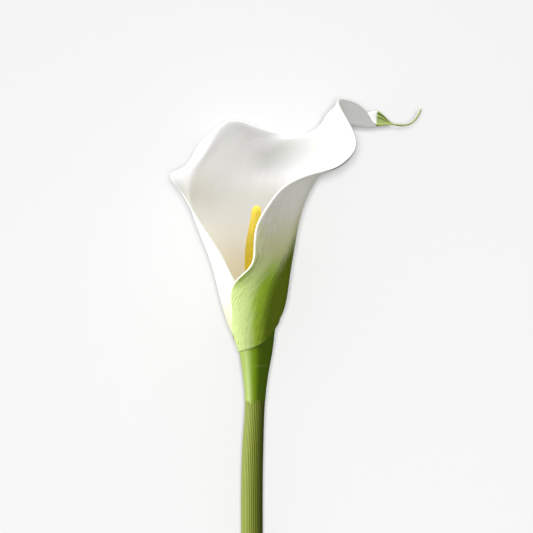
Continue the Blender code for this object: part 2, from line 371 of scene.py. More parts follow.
@dataclass(frozen=True)
class WrapFinish:
    """The outer side of the spathe: green at the foot, running up into the white in streaks.

    Distances along and across the sheet place the greens, which go from pale on the side towards the light
    to deep on the side turned from it: partly the sheet's own green, partly painted light and shade. side
    is across, swung by the turn near the foot, and level is how far the green's end lies above a point.
    """

    foot_green: Colour = (0.55, 0.67, 0.27)
    pale_green: Colour = (0.62, 0.75, 0.31)
    green: Colour = (0.41, 0.60, 0.03)
    # painted shade under the margin's curl
    shaded_green: Colour = (0.24, 0.33, 0.05)
    # painted shade on the side turned from the light; it also colours the dark streaks
    deep_green_and_shade: Colour = (0.16, 0.24, 0.003)
    streak: Colour = (0.64, 0.78, 0.27)
    white: Colour = (0.83, 0.83, 0.79)
    grey: Colour = (0.72, 0.72, 0.66)
    olive_white: Colour = (0.66, 0.68, 0.38)
    # painted light: the tip's outer side is whitened where the lamps do not reach it
    lit_tip_white: Colour = (0.98, 0.975, 0.96)
    turn_end: float = 28.0  # how far along the greens swing away from the margin
    turn: float = 0.0011  # by so much of the sheet's width a millimetre
    slant: Ramp = (0.30, 0.05, 0.0034)  # how fast the fibres climb across the sheet, a millimetre
    slant_end: float = 46.0
    streaks: Grain = Grain(60.0, 0.055, 2.4, 4.0, 0.65)
    broad: Grain = Grain(60.0, 0.05, 0.7, 2.0)
    hair: Grain = Grain(60.0, 0.06, 4.0, 3.0)
    reach: float = 42.0  # how far the streaks move the level
    sway: float = 0.05  # how far the broad grain moves the side
    pale_along: Ramp = (3.0, 16.0)
    green_side: Ramp = (0.07, 0.115)
    curl_shade_along: Ramp = (34.0, 46.0)
    curl_shade_side: Ramp = (0.055, 0.015, 0.9)
    shade_side: Ramp = (0.12, 0.17)
    hair_ramp: Ramp = (0.48, 0.66)
    hair_least: float = 0.12
    hair_side: Ramp = (0.17, 0.10, 0.3)
    dark_streaks: Ramp = (0.50, 0.34, 0.4)
    grey_streaks: Ramp = (0.40, 0.66, 0.5)
    olive_level: Ramp = (-34.0, -6.0, 0.8)
    green_level: Ramp = (-11.0, 8.0)
    tip_stations: Ramp = (7.8, 8.5)
    # painted highlight: a white line along the margins for the lit rolled edge
    lit_roll_edge: Ramp = (1.05, 0.5)
    lit_roll_along: Ramp = (16.0, 28.0)
    marks: SheetMarks = SheetMarks()

    def material(self) -> Material:
        """Make the material."""
        graph = ShaderGraph("spathe_outside", roughness=0.42, specular=0.25)
        graph.soften(weight=0.7, depth=2.0, colour=(1.0, 1.0, 0.9))
        across, along = graph.read("across"), graph.read("along")
        climb = graph.times(graph.ease(across, self.slant), graph.math("MINIMUM", along, self.slant_end))
        fibre = graph.minus(across, climb)
        streaks, broad, hair = [graph.grain(kind, fibre) for kind in (self.streaks, self.broad, self.hair)]
        level = graph.plus(graph.read("green"), graph.times(graph.minus(streaks, 0.5), self.reach))
        side = graph.plus(across, graph.times(graph.minus(broad, 0.5), self.sway))
        below = graph.minus(self.turn_end, graph.math("MINIMUM", along, self.turn_end))
        side = graph.minus(side, graph.times(below, self.turn))
        # pale towards the light and deep away from it: partly the sheet's own green, partly painted light
        # and shade
        green = graph.blend(graph.ease(along, self.pale_along), self.foot_green, self.pale_green)
        green = graph.blend(graph.ease(side, self.green_side), green, self.green)
        # painted shade under the curl of the margin
        curl_shade = graph.times(graph.ease(along, self.curl_shade_along), graph.ease(side, self.curl_shade_side))
        green = graph.blend(curl_shade, green, self.shaded_green)
        green = graph.blend(graph.ease(side, self.shade_side), green, self.deep_green_and_shade)
        shown = graph.plus(graph.ease(side, self.hair_side), self.hair_least)
        green = graph.blend(graph.times(graph.ease(hair, self.hair_ramp), shown), green, self.streak)
        green = graph.blend(graph.ease(streaks, self.dark_streaks), green, self.deep_green_and_shade)
        white = graph.blend(graph.ease(streaks, self.grey_streaks), self.white, self.grey)
        white = graph.blend(graph.ease(level, self.olive_level), white, self.olive_white)
        # painted light on the outer side of the tip
        white = graph.blend(graph.ease(graph.read("station"), self.tip_stations), white, self.lit_tip_white)
        colour = graph.blend(graph.ease(level, self.green_level), white, green)
        # painted highlight along the margins on the outer side
        line = graph.times(graph.ease(graph.read("edge"), self.lit_roll_edge),
                           graph.ease(along, self.lit_roll_along))
        graph.paint(self.marks.over(graph, graph.blend(line, colour, self.white)))
        graph.emboss(graph.plus(streaks, hair), strength=0.4, rise=0.14)
        return graph.material


@dataclass(frozen=True)
class RimFinish:
    """The thin edge of the spathe: plain white, with a green foot and tip."""

    white: Colour = (0.88, 0.88, 0.85)
    foot: Colour = (0.36, 0.47, 0.12)
    foot_along: Ramp = (2.5, 0.8)
    marks: SheetMarks = SheetMarks()

    def material(self) -> Material:
        """Make the material."""
        graph = ShaderGraph("spathe_rim", roughness=0.45, specular=0.3)
        white = graph.blend(graph.ease(graph.read("along"), self.foot_along), self.white, self.foot)
        graph.paint(self.marks.over(graph, white))
        return graph.material


@dataclass(frozen=True)
class FloretFinish:
    """The spadix: bright yellow florets, with painted shade between them, and deeper towards the foot."""

    crown: Colour = (0.93, 0.72, 0.09)
    lower: Colour = (1.0, 0.72, 0.05)
    # painted shade in the creases between the florets
    crease_shade: Colour = (0.48, 0.27, 0.006)
    foot: Colour = (0.40, 0.42, 0.12)
    blotches: Grain = Grain(9.0, 0.12, 1.0)
    blotch_reach: float = 14.0
    lower_level: Ramp = (10.0, 26.0)
    crown_level: Ramp = (30.0, 58.0)
    crease_shade_ramp: Ramp = (0.62, 0.05, 0.45)

    def material(self) -> Material:
        """Make the material."""
        graph = ShaderGraph("spadix_florets", roughness=0.62, specular=0.25)
        graph.soften(weight=0.2, depth=0.5, colour=(1.0, 0.7, 0.2))
        level = graph.plus(graph.read("along"), graph.times(graph.grain(self.blotches), self.blotch_reach))
        colour = graph.blend(graph.ease(level, self.lower_level), self.foot, self.lower)
        colour = graph.blend(graph.ease(level, self.crown_level), colour, self.crown)
        # painted shade where the relief is low, between the florets
        graph.paint(graph.blend(graph.ease(graph.read("relief"), self.crease_shade_ramp), colour, self.crease_shade))
        return graph.material


@dataclass(frozen=True)
class StemFinish:
    """The stem's skin: a smooth bright neck above ribs of a duller green, both painted paler on the side
    towards the light and darker on the side turned from it.
    """

    # the neck's green on the side towards the light: partly its own pale tone, partly painted sheen
    neck: Colour = (0.33, 0.44, 0.10)
    neck_vivid: Colour = (0.17, 0.29, 0.003)
    # painted shade on the side of the neck turned from the light
    neck_shaded_green: Colour = (0.10, 0.19, 0.001)
    neck_pale: Colour = (0.50, 0.60, 0.22)
    ribs: Colour = (0.28, 0.34, 0.03)
    # painted shade on the side of the ribbed stem turned from the light
    ribs_shaded: Colour = (0.09, 0.12, 0.002)
    # painted shade: near black in the furrows between the ribs
    furrow: Colour = (0.02, 0.035, 0.001)
    scar: Colour = (0.40, 0.52, 0.14)
    streaks: Grain = Grain(40.0, 0.03, 1.0)
    fine: Grain = Grain(40.0, 0.2, 3.0, 2.0)
    pale_streaks: Ramp = (0.42, 0.72, 0.5)
    sway: float = 0.05  # how far the streaks move the bounds of the greens
    vivid_turns: Span = (-0.11, -0.01, 0.44, 0.49)
    neck_shade_turns: Span = (-0.005, 0.045, 0.38, 0.47)
    ribs_shade_turns: Ramp = (0.04, 0.16)
    scar_share: float = 0.3
    flecks: Ramp = (0.4, 0.75, 0.2)

    def material(self) -> Material:
        """Make the material."""
        graph = ShaderGraph("stem_skin", roughness=0.38, specular=0.25)
        streaks, fine = graph.grain(self.streaks), graph.grain(self.fine)
        turned = graph.plus(graph.read("across"), graph.times(graph.minus(streaks, 0.5), self.sway))
        neck = graph.blend(graph.ease(streaks, self.pale_streaks), self.neck, self.neck_pale)
        # painted sheen to one side, painted shade to the other, over the neck's vivid green
        neck = graph.blend(graph.within(turned, self.vivid_turns), neck, self.neck_vivid)
        neck = graph.blend(graph.within(turned, self.neck_shade_turns), neck, self.neck_shaded_green)
        neck = graph.blend(graph.times(graph.read("scar"), self.scar_share), neck, self.scar)
        # painted shade on the far side of the ribs
        ribs = graph.blend(graph.ease(turned, self.ribs_shade_turns), self.ribs, self.ribs_shaded)
        ribs = graph.blend(graph.ease(fine, self.flecks), ribs, self.neck_pale)
        # painted shade in the furrows
        ribs = graph.blend(graph.read("furrow"), ribs, self.furrow)
        graph.paint(graph.blend(graph.read("ribbed"), neck, ribs))
        graph.emboss(fine, strength=0.2, rise=0.08)
        return graph.material


@dataclass(frozen=True)
class CutFinish:
    """The cut end of the stem: moist pale pith dotted with strands."""

    pith: Colour = (0.56, 0.62, 0.34)
    strand: Colour = (0.28, 0.36, 0.10)
    spacing: float = 1.1
    strand_ramp: Ramp = (0.34, 0.16)  # in shares of the spacing

    def material(self) -> Material:
        """Make the material."""
        graph = ShaderGraph("stem_cut", roughness=0.3, specular=0.5)
        place = graph.add("ShaderNodeTexCoord", {}).outputs["Object"]
        feeds = {"Vector": place, "Scale": 1.0 / (self.spacing * MM)}
        cells = graph.add("ShaderNodeTexVoronoi", feeds)
        dots = graph.ease(cells.outputs["Distance"], self.strand_ramp)
        graph.paint(graph.blend(dots, self.pith, self.strand))
        graph.emboss(dots, strength=0.5, rise=0.1)
        return graph.material


def add_object(name: str, data: object) -> Object:
    """Make an object of a mesh, a light or a camera and put it in the scene."""
    obj = bpy.data.objects.new(name, data)
    bpy.context.scene.collection.objects.link(obj)
    return obj


@dataclass
class Piece:
    """What every piece of the flower has: its name and how it joins the frame."""

    pose: Matrix
    part: Part

    def stand(self, mesh: BMesh, finishes: list) -> Object:
        """Carry an upright mesh to where the piece lies and make a smooth object of it.

        Args:
            mesh: the mesh.
            finishes: its finishes in slot order.

        Returns:
            The object, linked to the scene.
        """
        bmesh.ops.transform(mesh, matrix=self.pose, verts=mesh.verts)
        data = bpy.data.meshes.new(f"{self.part.value}_skin")
        mesh.to_mesh(data)
        mesh.free()
        data.shade_smooth()
        for finish in finishes:
            data.materials.append(finish.material())
        return add_object(data.name, data)

    def finish(self, obj: Object) -> Object:
        """Put a piece in the scene, on the frame, in place of its plain solid.

        Args:
            obj: the piece, in place.

        Returns:
            The same piece.
        """
        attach(obj, "root")
        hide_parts(self.part.value)
        faces = sum(len(face.vertices) - 2 for face in obj.data.polygons)
        log.info("%s: %d triangles", obj.name, faces)
        return obj

    def settle(self, obj: Object) -> None:
        """Apply the piece's modifiers and drop its vertex groups."""
        graph = bpy.context.evaluated_depsgraph_get()
        shaped = bpy.data.meshes.new_from_object(obj.evaluated_get(graph))
        rough = obj.data
        obj.modifiers.clear()
        obj.vertex_groups.clear()
        obj.data = shaped
        shaped.name = rough.name
        bpy.data.meshes.remove(rough)


def ringed_tube(sides: int, rings: int) -> tuple[BMesh, np.ndarray, np.ndarray]:
    """Start a capped tube from a cylinder that is cut into rings.

    Args:
        sides: points round each ring.
        rings: how many rings, the two ends included.

    Returns:
        The mesh, and the ring number and the turn, in radians, of each of its points.
    """
    mesh = bmesh.new()
    bmesh.ops.create_cone(mesh, cap_ends=True, segments=sides, radius1=1.0, radius2=1.0,
                          depth=rings - 1)
    uprights = [edge for edge in mesh.edges if edge.verts[0].co.z * edge.verts[1].co.z < 0]
    bmesh.ops.subdivide_edges(mesh, edges=uprights, cuts=rings - 2, use_grid_fill=True)
    mesh.verts.ensure_lookup_table()
    place = np.array([vert.co[:] for vert in mesh.verts])
    ring = np.rint(place[:, 2] + (rings - 1) / 2).astype(int)
    return mesh, ring, np.arctan2(place[:, 0], place[:, 1])


def place_points(mesh: BMesh, points: np.ndarray, numbers: dict[str, np.ndarray]) -> None:
    """Move a mesh's points and write the numbers that its material reads.

    Args:
        mesh: the mesh.
        points: where each point goes, in upright millimetres.
        numbers: for each attribute's name, one number a point.
    """
    layers = [(mesh.verts.layers.float.new(name), values) for name, values in numbers.items()]
    for i, vert in enumerate(mesh.verts):
        vert.co = points[i]
        for layer, values in layers:
            vert[layer] = values[i]


@dataclass
class Stem(Piece):
    """The ribbed stem with the smooth neck that carries the spathe and spadix."""

    profile: tuple = (  # (height, x of the centre, radius), up to the shoulder
        (-180.0, 0.0, 6.0), (-100.0, 0.0, 6.0), (-66.0, 0.15, 5.95), (-44.0, 0.95, 5.65),
        (-30.0, 1.65, 5.5), (-16.5, 1.9, 6.6), (-5.5, 2.1, 8.3), (3.0, 1.9, 9.85), (12.0, 1.2, 11.7),
        (16.0, 1.75, 12.3))
    shoulder_inset: float = 1.8
    shoulder_rise: float = 2.0
    shoulder_rings: int = 8
    cut_bevel: float = 0.35
    ribs: int = 34
    rib_sides: int = 8
    rib_depth: float = 0.2
    ribs_end: float = -27.5  # about where the furrows run out under the neck's skin
    ragged: float = 1.2
    rib_fade: float = 1.2  # height over which each furrow runs out
    shallowest: float = 0.65  # share of rib_depth that every furrow has
    skin_step: float = 0.1  # how far the neck's skin stands over the ribs
    low_heights: Ramp = (-STEM_LENGTH, -42.0)
    low_rings: int = 96
    high_start: float = -41.4
    high_rings: int = 110
    scar_height: float = -8.4
    scar_turn: float = math.radians(24)
    scar_bow: float = 1.1
    scar_width: float = 0.3
    scar_reach: Ramp = (0.75, 0.35)  # turns to each side where it has ended and is full
    scar_rise: float = 0.12

    def rings(self) -> np.ndarray:
        """Rows of (height, x of the centre, radius), from the cut up over the shoulder."""
        top = self.profile[-1][0]
        heights = np.concatenate([np.linspace(*self.low_heights, self.low_rings),
                                  np.linspace(self.high_start, top, self.high_rings)])
        outline = read_rows(self.profile, heights)
        rows = [(height, *values) for height, values in zip(heights, outline)]
        turns = np.linspace(0, math.pi / 2, self.shoulder_rings + 1)[1:]
        centre, radius = outline[-1]
        for turn in turns:
            rows.append((top + self.shoulder_rise * math.sin(turn), centre,
                         radius - self.shoulder_inset * (1 - math.cos(turn))))
        bevel = [(-STEM_LENGTH + self.cut_bevel * (1 - math.cos(turn)), 0.0,
                  self.profile[0][2] - self.cut_bevel * (1 - math.sin(turn))) for turn in turns[:-1]]
        return np.array([(-STEM_LENGTH, 0.0, self.profile[0][2] - self.cut_bevel)] + bevel + rows[1:])

    def build(self, draw: np.random.Generator) -> Object:
        """Make the stem.

        Args:
            draw: the source of the ribs' small differences.

        Returns:
            The finished object.
        """
        rows = self.rings()
        mesh, ring, turn = ringed_tube(self.ribs * self.rib_sides, len(rows))
        height, centre, radius = rows[ring].T
        rib = np.rint(turn * self.ribs / (2 * math.pi)).astype(int) % self.ribs
        end = self.ribs_end + self.ragged * draw.uniform(-1, 1, self.ribs)[rib]
        ribbed = smoothstep(0.0, -self.rib_fade, height - end)
        depth = self.rib_depth * draw.uniform(self.shallowest, 1.0, self.ribs)[rib]
        furrow = np.clip(np.cos(self.ribs * turn), 0, 1) ** 2
        aside = turn - self.scar_turn
        from_scar = height - self.scar_height + self.scar_bow * aside ** 2
        scar = np.exp(-(from_scar / self.scar_width) ** 2) * smoothstep(*self.scar_reach, np.abs(aside))
        reach = radius - ribbed * (self.skin_step + depth * furrow) + self.scar_rise * scar
        points = np.stack([centre + reach * np.sin(turn), height, reach * np.cos(turn)], axis=-1)
        place_points(mesh, points, {
            "across": turn / (2 * math.pi), "along": height + STEM_LENGTH, "ribbed": ribbed,
            "furrow": ribbed * furrow, "scar": scar})
        low = min(mesh.faces, key=lambda face: face.calc_center_median().y)
        low.material_index = 1
        bmesh.ops.recalc_face_normals(mesh, faces=mesh.faces)
        obj = self.stand(mesh, [StemFinish(), CutFinish()])
        for face in obj.data.polygons:
            face.use_smooth = len(face.vertices) == 4
        return self.finish(obj)


@dataclass
class Spadix(Piece):
    """The spadix: a blunt rod crowded with florets in staggered rows."""

    line: tuple = (  # (height, x, z) of the middle of the rod
        (18.3, 0.2, 0.0), (30.0, -0.85, -0.1), (45.0, -1.15, -0.25), (55.0, -0.8, -0.35),
        (63.0, 0.3, -0.45), (71.5, 1.85, -0.55), (79.5, 2.75, -0.6))
    profile: tuple = ((0.0, 2.55), (0.3, 2.75), (0.7, 2.85), (1.0, 2.7))  # (share, radius)
    dome: float = 4.2
    dome_end: float = math.radians(86)
    dome_rings: int = 34
    rod_rings: int = 330
    sides: int = 144
    florets_round: int = 16
    floret_pitch: float = 0.98
    floret_radius: float = 0.66
    floret_height: float = 0.3
    wander: float = 0.12  # how far each floret strays from its place
    swelling: float = 0.18  # how much the florets differ in height

    def relief(self, turn: np.ndarray, distance: np.ndarray, draw: np.random.Generator) -> np.ndarray:
        """Height of the florets, from 0 in a crease to about 1 on a crown.

        Args:
            turn: the points' turns, in radians.
            distance: their distances along the rod.
            draw: the source of the florets' small differences.

        Returns:
            One height a point.
        """
        girth = 2 * math.pi * self.profile[2][1]
        rows = int(distance.max() / self.floret_pitch) + 3
        stray = draw.uniform(-1, 1, (rows, self.florets_round, 3))
        best = np.full(turn.shape, np.inf)
        swell = np.ones(turn.shape)
        for side in (0, 1):
            row = np.floor(distance / self.floret_pitch).astype(int) + side
            column = turn / (2 * math.pi) * self.florets_round + 0.5 * (row % 2)
            nearest = np.rint(column).astype(int)
            small = stray[row, nearest % self.florets_round]
            aside = (column - nearest) * girth / self.florets_round + self.wander * small[:, 0]
            ahead = distance - row * self.floret_pitch + self.wander * small[:, 1]
            reach = np.hypot(aside, ahead) / self.floret_radius
            closer = reach < best
            best = np.where(closer, reach, best)
            swell = np.where(closer, 1 + self.swelling * small[:, 2], swell)
        return np.sqrt(np.clip(1 - best ** 2, 0, 1)) * swell

    def build(self, draw: np.random.Generator) -> Object:
        """Make the spadix.

        Args:
            draw: the source of the florets' small differences.

        Returns:
            The finished object.
        """
        foot, top = self.line[0][0], self.line[-1][0]
        rod = top - foot - self.dome
        along = np.linspace(0, rod, self.rod_rings)
        girths = read_rows(self.profile, along / rod)[:, 0]
        over = np.linspace(0, self.dome_end, self.dome_rings + 1)[1:]
        along = np.concatenate([along, rod + self.dome * np.sin(over)])
        girths = np.concatenate([girths, girths[-1] * np.cos(over)])
        share = np.concatenate([np.ones(self.rod_rings), np.cos(over) ** 0.5])
        travel = np.concatenate([[0.0], np.cumsum(np.hypot(np.diff(along), np.diff(girths)))])
        mesh, ring, turn = ringed_tube(self.sides, len(along))
        relief = self.relief(turn, travel[ring], draw) * smoothstep(0.0, 1.0, along[ring])
        reach = girths[ring] + self.floret_height * share[ring] * (relief - 0.5)
        middle = read_rows(self.line, foot + along)[ring]
        points = np.stack([middle[:, 0] + reach * np.sin(turn), foot + along[ring],
                           middle[:, 1] + reach * np.cos(turn)], axis=-1)
        place_points(mesh, points, {"across": turn / (2 * math.pi), "along": along[ring],
                                    "relief": relief})
        bmesh.ops.recalc_face_normals(mesh, faces=mesh.faces)
        return self.finish(self.stand(mesh, [FloretFinish()]))


@dataclass(frozen=True)
class Guide:
    """A lengthwise line of the spathe, followed from its base to the root of its tail.

    across is 0 at the right margin, which wraps outermost, and 1 at the left margin, which is
    tucked in. tube holds (station, height, bearing in degrees from +Z towards +X, radius) in the
    rolled part, and crown holds (station, x, y, z) from there to the drawn-out tip.
    """

    across: float
    tube: tuple
    crown: tuple


GUIDES = (
    Guide(0.0,  # right margin
          ((0, -6, -84, 9.3), (1, 12, -53, 13.4), (2, 25.5, -41, 17.6), (3, 38.2, -23, 21.7)),
          ((3.5, -1.2, 45.4, 23.0), (4, 1.2, 54.3, 24.3), (4.5, 2.4, 66.6, 27.6),
           (5, 8.6, 78.2, 30.0), (5.5, 17.9, 88.8, 30.95), (6, 32.4, 95.2, 29.0),
           (6.5, 45.3, 99.0, 25.0), (7, 54.6, 106.8, 20.5), (7.5, 55.2, 119.5, 15.0),
           (8, 47.3, 136.6, 8.0), (8.25, 52.0, 137.0, 5.0), (8.5, 58.0, 135.3, 1.0),
           (8.75, 63.8, 130.6, -4.0), (9, 68.0, 124.9, -9.0))),
    Guide(0.2,  # right flank
          ((0, -6, 26, 9.9), (1, 11, 38, 13.3), (2, 25, 47, 18.2), (3, 40, 56, 20.6)),
          ((4, 21.0, 57, 9.5), (5, 27.0, 79, 7.0), (6, 36.8, 96.5, 9.0), (7, 45.5, 112, 1.0),
           (8, 45.2, 132.3, -2.0), (8.5, 56.0, 127.0, -5.0), (9, 68.6, 124.2, -12.0))),
    Guide(0.42,  # midrib
          ((0, -7, 132, 9.3), (1, 10, 132, 13.2), (2, 25, 132, 17.3), (3, 40, 131, 20.3)),
          ((4, 18.0, 57, -15.2), (5, 21.5, 78, -19), (6, 27.0, 97, -24), (7, 35.0, 113, -24),
           (8, 42.6, 127.6, -13), (8.5, 55, 125.0, -13.5), (9, 68.8, 124.4, -16))),
    Guide(0.64,  # left wall
          ((0, -6, 222, 9.2), (1, 10, 222, 12.1), (2, 25, 219, 16.5), (3, 40, 215, 20.3)),
          ((4, -12, 57, -20.8), (5, -12, 79, -28), (6, -7, 101, -34), (7.1, 7, 117.5, -36),
           (8, 37, 120.8, -29.5), (8.5, 52.5, 125.6, -22), (9, 69.0, 128, -20))),
    Guide(0.84,  # left crest
          ((0, -3, 318, 9.0), (1, 11, 312, 11.9), (2, 24, 303, 15.8), (3, 38, 292, 19.4)),
          ((4, -24.4, 55, 5.0), (5, -33.4, 79, 2), (6, -30.5, 99.5, -6), (6.4, -23.5, 112.5, -16),
           (6.85, -14.5, 127.2, -27.5), (7.4, 4, 124.3, -35.5), (8, 32, 120.8, -35.5),
           (8.5, 51, 125.3, -27), (8.75, 61.0, 129.0, -24.0), (9, 69.4, 131.4, -21))),
    Guide(1.0,  # left margin
          ((0, -3, 375, 9.2), (1, 10, 366, 11.4), (2, 22, 353, 15.2), (3, 34.5, 337, 18.8)),
          ((3.5, -12.2, 44.0, 17.5), (4, -17.3, 53.8, 17.2), (4.5, -24.6, 64.5, 15.5),
           (5, -32.2, 76, 13), (5.5, -39.0, 87, 10.5), (6, -44.45, 96.0, 8), (6.35, -37.0, 99.5, -7),
           (6.75, -28.5, 113.5, -23), (7.2, -10.5, 120.6, -43.2), (7.6, 8.5, 118.4, -42.6),
           (8, 27.0, 115.4, -44.0), (8.5, 49.5, 124.5, -31), (8.75, 61.0, 130.3, -26.0),
           (9, 69.6, 133.0, -21.5))),
)


@dataclass(frozen=True)
class MarginRoll:
    """A strip along a margin that bends outwards between two stations."""

    width: float
    depth: float
    stations: Span

    def drop_at(self, to_edge: np.ndarray, stations: np.ndarray) -> np.ndarray:
        """How far points bend outwards, given how far they are from the margin."""
        share = within(self.stations, stations)
        return self.depth * share * (1 - np.clip(to_edge / self.width, 0, 1)) ** 2


@dataclass
class Spathe(Piece):
    """The spathe: one leaf rolled into a funnel, with a flared lip and a drawn-out tip."""

    guides: tuple[Guide, ...] = GUIDES
    tail: tuple = (  # (station, x, y, z, width), shared by every guide
        (9.4, 79.6, 125.0, -17.6, 2.0), (9.6, 86.3, 125.0, -19.0, 1.3),
        (9.8, 91.4, 128.3, -20.4, 1.1), (10.0, 94.5, 134.0, -21.5, 0.8))
    oblique_base: tuple = (  # (across, station) of the sheet's foot
        (0.0, 0.28), (0.1, 0.38), (0.2, 0.7), (0.32, 1.32), (0.42, 1.2), (0.55, 0.85),
        (0.64, 0.62), (0.75, 0.72), (0.84, 1.15), (1.0, 1.5))
    thickness: float = 0.9
    edge_round: float = 0.55  # width over which the sheet thins to its edge
    edge_share: float = 0.2  # share of the thickness left at the very edge
    thinning: float = 0.4  # share of the thickness lost between the lip and the tail
    thinned: Span = (7.8, 8.5, 9.2, 9.6)  # stations
    flush: Ramp = (2.2, 1.4)  # stations over which the thin edge drops to the inner side
    right_roll: MarginRoll = MarginRoll(width=0.75, depth=0.7, stations=(1.7, 2.6, 5.9, 6.6))
    crest_curl: MarginRoll = MarginRoll(width=8.0, depth=1.5, stations=(5.9, 6.3, 6.9, 7.3))
    columns: int = 132
    margin_columns: tuple = (0.0012, 0.003, 0.0055, 0.009)
    rows: int = 165
    tip_rows: int = 56
    tip_station: float = 9.0
    last_station: float = 10.0
    finest_cell: float = 0.14
    foot_gap: float = 0.15  # what is left between the sheet's foot and the neck
    foot_length: float = 7.0  # how far up the sheet draws in against the neck
    base_offset: float = 2.0
    base_offset_end: float = 16.0
    green_limit: tuple = (  # (across, height that the outer green reaches)
        (0.0, 48.0), (0.04, 46.0), (0.12, 46.0), (0.17, 49.0), (0.21, 57.0), (0.25, 59.0),
        (0.42, 56.0), (0.64, 12.0), (0.84, 4.0), (1.0, 4.0))

    def tube_centre(self, height: np.ndarray) -> np.ndarray:
        """X of the rolled tube's centre at a height: off the axis at the base, on it above."""
        return self.base_offset * (1 - smoothstep(0.0, self.base_offset_end, height))

    def guide_rows(self, guide: Guide) -> tuple[list, list]:
        """Follow a guide round the tube.

        Args:
            guide: the guide.

        Returns:
            Its stations, and its (bearing, radius, height) at each, tail included.
        """
        stations = [row[0] for row in guide.tube]
        rows = [(row[2], row[3], row[1]) for row in guide.tube]
        tail = [(station, x, y, z - (guide.across - 0.5) * width) for station, x, y, z, width in self.tail]
        for station, x, y, z in list(guide.crown) + tail:
            from_centre = x - float(self.tube_centre(y))
            bearing = math.degrees(math.atan2(from_centre, z))
            bearing += 360 * round((rows[-1][0] - bearing) / 360)
            stations.append(station)
            rows.append((bearing, math.hypot(from_centre, z), y))
        return stations, rows

    def surface(self) -> tuple[np.ndarray, np.ndarray, np.ndarray]:
        """Lay out the sheet's middle surface.

        Returns:
            Its points as [column, row, xyz], and the across and station of each.
        """
        near = np.array(self.margin_columns)
        across = np.unique(np.concatenate([np.linspace(0, 1, self.columns + 1 - 2 * len(near)),
                                           near, 1 - near]))
        along = np.linspace(0, 1, self.rows + 1)
        tip = np.linspace(self.tip_station, self.last_station, self.tip_rows + 1)[1:]
        foot = read_rows(self.oblique_base, across)
        stations = np.hstack([foot + (self.tip_station - foot) * along,
                              np.tile(tip, (len(across), 1))])
        lines = [natural_spline(*self.guide_rows(guide), stations.ravel()).reshape(*stations.shape, 3)
                 for guide in self.guides]
        rolled = np.empty(stations.shape + (3,))
        for i, place in enumerate(across):
            through = np.stack([line[i].ravel() for line in lines])
            column = natural_spline([guide.across for guide in self.guides], through, np.array([place]))
            rolled[i] = column.reshape(-1, 3)
        bearing = np.radians(rolled[..., 0])
        x = self.tube_centre(rolled[..., 2]) + rolled[..., 1] * np.sin(bearing)
        points = np.stack([x, rolled[..., 2], rolled[..., 1] * np.cos(bearing)], axis=-1)
        return points, np.tile(across[:, None], (1, stations.shape[1])), stations

    def outward(self, points: np.ndarray) -> np.ndarray:
        """Unit normals of the sheet, towards its outer side."""
        normals = np.cross(np.gradient(points, axis=1), np.gradient(points, axis=0))
        return normals / np.linalg.norm(normals, axis=2, keepdims=True)

    def roll_margins(self, points: np.ndarray, from_first: np.ndarray, stations: np.ndarray) -> np.ndarray:
        """Roll the right margin and the left crest a little outwards.

        Args:
            points: the middle surface, as [column, row, xyz].
            from_first: how far each point is from the right margin.
            stations: the station of each point.

        Returns:
            The surface with its margins rolled.
        """
        drop = self.right_roll.drop_at(from_first, stations)
        drop += self.crest_curl.drop_at(from_first[-1] - from_first, stations)
        return points + self.outward(points) * drop[..., None]

    def close_foot(self, points: np.ndarray, along: np.ndarray) -> np.ndarray:
        """Draw the sheet's foot in against the neck.

        Args:
            points: the middle surface, as [column, row, xyz].
            along: how far each point is from the sheet's foot.

        Returns:
            The surface with its foot against the neck.
        """
        height = np.clip(points[..., 1], None, Stem.profile[-1][0])
        neck = read_rows(Stem.profile, height.ravel()).reshape(*height.shape, 2)
        aside = points[..., 0] - neck[..., 0]
        reach = np.hypot(aside, points[..., 2])
        closed = np.minimum((neck[..., 1] + self.foot_gap + self.thickness / 2) / reach, 1.0)
        drawn = 1 - (1 - closed) * smoothstep(self.foot_length, 0.0, along)
        closer = points.copy()
        closer[..., 0] = neck[..., 0] + aside * drawn
        closer[..., 2] *= drawn
        return closer

    def narrow(self, mesh: BMesh, widths: np.ndarray, columns: int) -> None:
        """Weld away every second column where the sheet's cells get too narrow, and again.

        Args:
            mesh: the grid, row by row.
            widths: how wide the sheet is along each row.
            columns: how many cells the grid has across.
        """
        mesh.verts.ensure_lookup_table()
        welds = {}
        skip = 1
        for j, width in enumerate(widths):
            if width * skip / columns < self.finest_cell and columns // skip % 2 == 0:
                skip *= 2
            first = j * (columns + 1)
            for i in range(columns + 1):
                if i % skip:
                    welds[mesh.verts[first + i]] = mesh.verts[first + i - i % skip]
        bmesh.ops.weld_verts(mesh, targetmap=welds)

